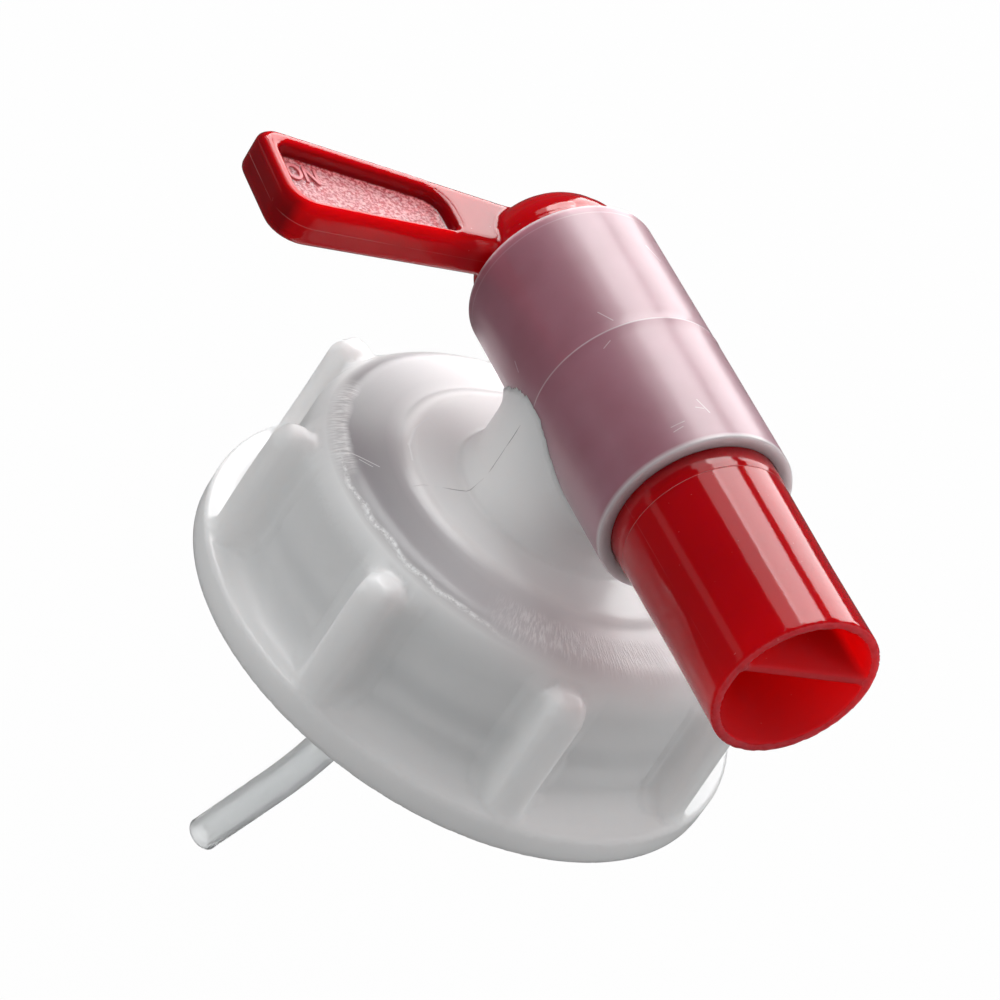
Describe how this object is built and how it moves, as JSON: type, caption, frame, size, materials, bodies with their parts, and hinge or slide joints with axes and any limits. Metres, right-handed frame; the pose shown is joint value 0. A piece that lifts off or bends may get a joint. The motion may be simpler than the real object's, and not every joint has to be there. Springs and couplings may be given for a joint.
{
  "type": "drum tap",
  "caption": "Screw-on plastic drum tap: finned cap with a cross barrel, a turning plug with side lever and open spout, a sealing ring and a breather tube.",
  "frame": {"origin": "centre of the cap's open mouth, in the plane of the flange's lower face", "axes": "+Z along the cap's axis, away from the drum; the barrel lies along Y, with the lever at its +Y end and the spout pointing to -Y; the lever points to -X in the ON position"},
  "size_m": [0.0803, 0.0884, 0.1113],
  "materials": {
    "milky_plastic": "natural translucent polyethylene, satin",
    "red_plastic": "glossy red polypropylene, spark-textured floor in the lever's pockets",
    "seal_ring": "pale matt elastomer",
    "clear_tube": "natural translucent polyethylene tube"
  },
  "bodies": {
    "body": {"tap_body": "milky_plastic", "cap_gasket": "seal_ring", "breather_tube": "clear_tube"},
    "plug": {"valve_plug": "red_plastic"}
  },
  "joints": [
    {"name": "plug_turn", "type": "hinge", "parent": "body", "child": "plug", "pos_m": [0, 0, 0.0438], "axis": [0, 1, 0], "range_deg": [0, 180]}
  ]
}
